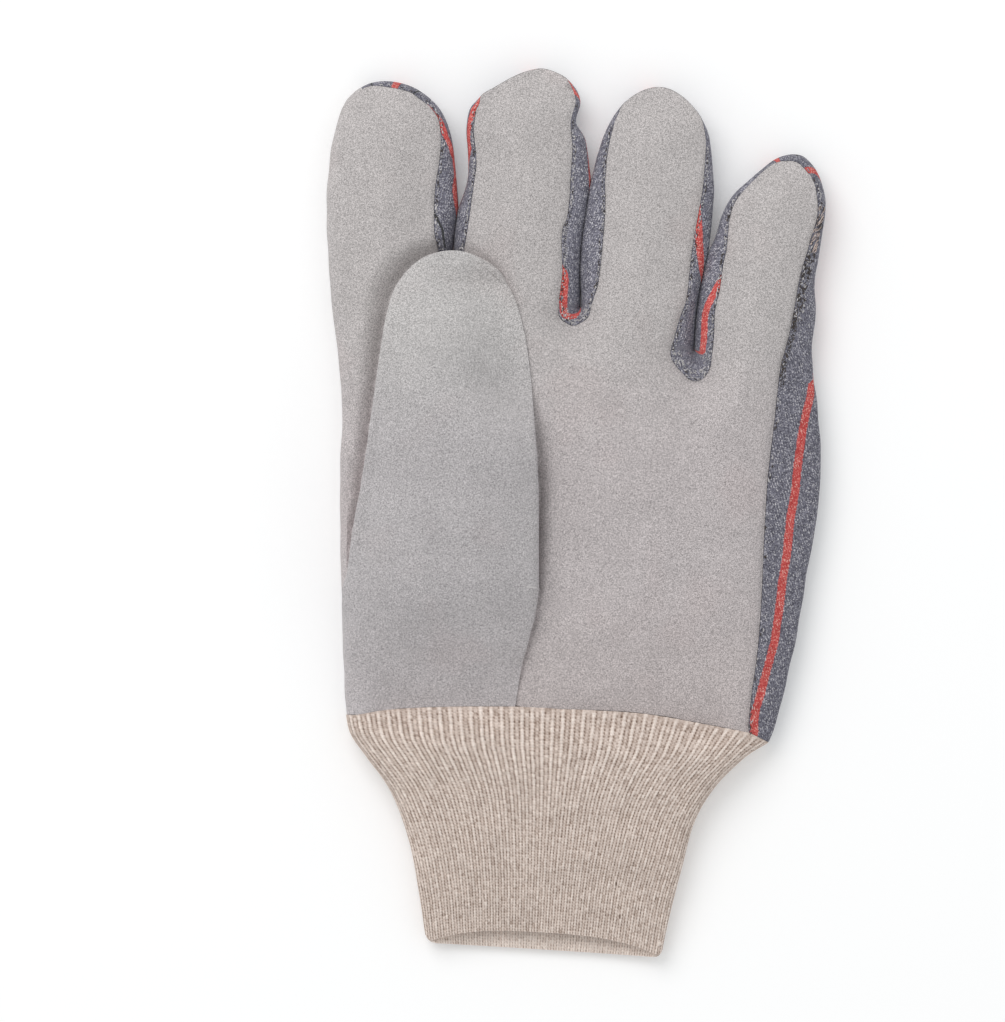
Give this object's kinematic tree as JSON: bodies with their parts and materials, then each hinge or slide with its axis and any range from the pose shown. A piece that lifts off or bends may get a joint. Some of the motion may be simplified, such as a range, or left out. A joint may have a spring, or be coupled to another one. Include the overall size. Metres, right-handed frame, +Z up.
{
  "type": "leather palm work glove",
  "caption": "Left-hand work glove lying palm up, with a suede palm and thumb, a striped cloth back and a rib-knit wrist cuff, the thumb folded flat over the palm.",
  "frame": {"origin": "middle of the glove's outline in plan, on the surface that it lies on", "axes": "+X across the hand from the thumb's side to the little finger, +Y from the cuff to the finger tips, +Z up out of the palm"},
  "size_m": [0.146, 0.2599, 0.0339],
  "materials": {
    "palm_suede": "warm grey split suede with a short soft nap, matt",
    "thumb_suede": "cool grey split suede with a short soft nap, matt",
    "striped_cloth": "blue-grey cotton twill with white flecks, red stripes and thin dark lines between them",
    "rib_knit": "unbleached cotton rib knit, beige, matt"
  },
  "bodies": {
    "root": {"palm_leather": "palm_suede", "thumb_outer_leather": "thumb_suede", "thumb_inner_leather": "palm_suede", "back_cloth": "striped_cloth", "knit_cuff": "rib_knit"}
  },
  "joints": []
}
